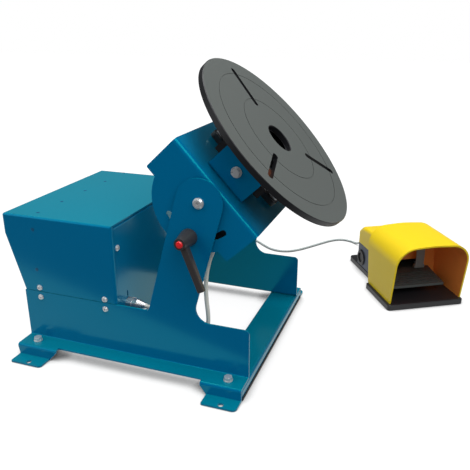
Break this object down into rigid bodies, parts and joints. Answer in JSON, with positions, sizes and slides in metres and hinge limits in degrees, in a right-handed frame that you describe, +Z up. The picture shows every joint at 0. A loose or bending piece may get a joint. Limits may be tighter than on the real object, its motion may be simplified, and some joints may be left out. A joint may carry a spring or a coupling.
{
  "type": "welding positioner",
  "caption": "Benchtop welding positioner: a slotted turntable on a tilting head over a folded steel base with a housing, plus a hooded foot pedal on a cable.",
  "frame": {"origin": "centre of the four foot holes, on the floor", "axes": "+X from the electrical housing towards the turntable, +Y to the far side plate, +Z up; the head tilts about Y"},
  "size_m": [0.8749, 0.8204, 0.5223],
  "materials": {
    "black_plastic": "fine texture",
    "blue_paint": "semi-gloss powder coat",
    "bronze": "sintered bronze",
    "cable_skin": "smooth sheath",
    "cast_grey": "machined casting",
    "copper": "bare copper",
    "grey_plastic": "fine texture",
    "hose_skin": "smooth sheath",
    "motor_black": "satin paint",
    "pale_plastic": "smooth",
    "red_plastic": "glossy",
    "rubber": "matt",
    "steel": "turned",
    "table_black": "blackened and turned",
    "yellow_plastic": "glossy moulding",
    "zinc_steel": "zinc plated"
  },
  "bodies": {
    "base": {"side_frame_near": "blue_paint", "side_frame_far": "blue_paint", "front_cross_member": "blue_paint", "rear_cross_member": "blue_paint", "edge_strips": "rubber", "frame_bolts": "zinc_steel", "frame_nuts": "zinc_steel", "chassis_tray": "blue_paint", "front_wall": "blue_paint", "housing_cover": "blue_paint", "seam_straps": "zinc_steel", "button_screws": "zinc_steel", "power_supply": "zinc_steel", "hose_gland": "pale_plastic", "rear_gland": "black_plastic", "power_inlet": "black_plastic", "pivot_bolts": "zinc_steel", "pivot_nuts": "zinc_steel", "clamp_stud": "zinc_steel", "pedal_base": "black_plastic", "pedal_hood": "yellow_plastic", "pedal_body": "grey_plastic", "pedal_cap": "yellow_plastic", "pedal_plug": "black_plastic", "pedal_gland": "black_plastic", "pedal_pins": "zinc_steel", "head_hose": "hose_skin", "pedal_cable_a": "cable_skin", "cable_coil": "cable_skin", "pedal_cable_b": "cable_skin"},
    "head": {"head_channel": "blue_paint", "pivot_bushes": "bronze", "bearing_housing": "cast_grey", "housing_bolts": "zinc_steel", "bearing_outer_rings": "steel", "motor_plate": "zinc_steel", "motor_standoffs": "zinc_steel", "gearbox_case": "cast_grey", "drive_motor": "motor_black", "brush_bracket": "blue_paint", "brush_block": "black_plastic", "brush_plate": "zinc_steel", "bracket_bolt": "zinc_steel", "brush_springs": "steel", "terminal_box": "black_plastic"},
    "table": {"rotary_table": "table_black", "spindle": "steel", "table_screws": "zinc_steel", "retaining_ring": "steel", "table_gear": "steel", "bearing_inner_rings": "steel"},
    "drive_pinion": {"pinion": "steel"},
    "brushes": {"earth_brushes": "copper"},
    "lever": {"clamp_lever": "black_plastic"},
    "release_button": {"lever_button": "red_plastic"},
    "treadle": {"pedal_treadle": "black_plastic"},
    "latch": {"toe_latch": "grey_plastic"},
    "speed_control": {"speed_knob": "black_plastic"},
    "direction_control": {"direction_knob": "black_plastic"},
    "mains_rocker": {"mains_switch": "red_plastic"}
  },
  "joints": [
    {"name": "tilt", "type": "hinge", "parent": "base", "child": "head", "pos_m": [0.13, 0, 0.319], "axis": [0, -1, 0], "range_deg": [-55, 47], "deforming": ["head_hose"]},
    {"name": "table_spin", "type": "hinge", "parent": "head", "child": "table", "pos_m": [0.20606, 0, 0.38993], "axis": [0.7314, 0, 0.682], "continuous": true},
    {"name": "pinion_spin", "type": "hinge", "parent": "head", "child": "drive_pinion", "pos_m": [0.14097, 0.09, 0.32923], "axis": [0.7314, 0, 0.682], "continuous": true},
    {"name": "brush_slide", "type": "slide", "parent": "head", "child": "brushes", "axis": [0.7314, 0, 0.682], "range_m": [-0.003, 0], "stiffness_N_per_m": 600, "springref_m": 0.005, "deforming": ["brush_springs"]},
    {"name": "lever_turn", "type": "hinge", "parent": "base", "child": "lever", "pos_m": [0.11246, -0.185, 0.26162], "axis": [0, -1, 0], "range_deg": [-60, 60]},
    {"name": "button_press", "type": "slide", "parent": "lever", "child": "release_button", "axis": [0, 1, 0], "range_m": [0, 0.003], "stiffness_N_per_m": 300, "springref_m": -0.002},
    {"name": "treadle_press", "type": "hinge", "parent": "base", "child": "treadle", "pos_m": [0.40175, 0.37664, 0.036], "axis": [0.8572, 0.515, 0], "range_deg": [0, 4.5], "stiffness_Nm_per_rad": 12, "springref_deg": -4.58},
    {"name": "toe_latch_swing", "type": "hinge", "parent": "base", "child": "latch", "pos_m": [0.43513, 0.33953, 0.098], "axis": [0.8572, 0.515, 0], "range_deg": [0, 18], "stiffness_Nm_per_rad": 0.1, "springref_deg": -11.46},
    {"name": "speed_turn", "type": "hinge", "parent": "base", "child": "speed_control", "pos_m": [-0.238, -0.07, 0.1695], "axis": [-0.9629, 0, -0.27], "range_deg": [-135, 135]},
    {"name": "direction_turn", "type": "hinge", "parent": "base", "child": "direction_control", "pos_m": [-0.238, -0.01, 0.1695], "axis": [-0.9629, 0, -0.27], "range_deg": [-45, 45]},
    {"name": "mains_tip", "type": "hinge", "parent": "base", "child": "mains_rocker", "pos_m": [-0.222, -0.0074, 0.072], "axis": [0, 1, 0], "range_deg": [-8, 8]}
  ],
  "couplings": [
    {"joint": "pinion_spin", "follows": "table_spin", "ratio": -3}
  ]
}
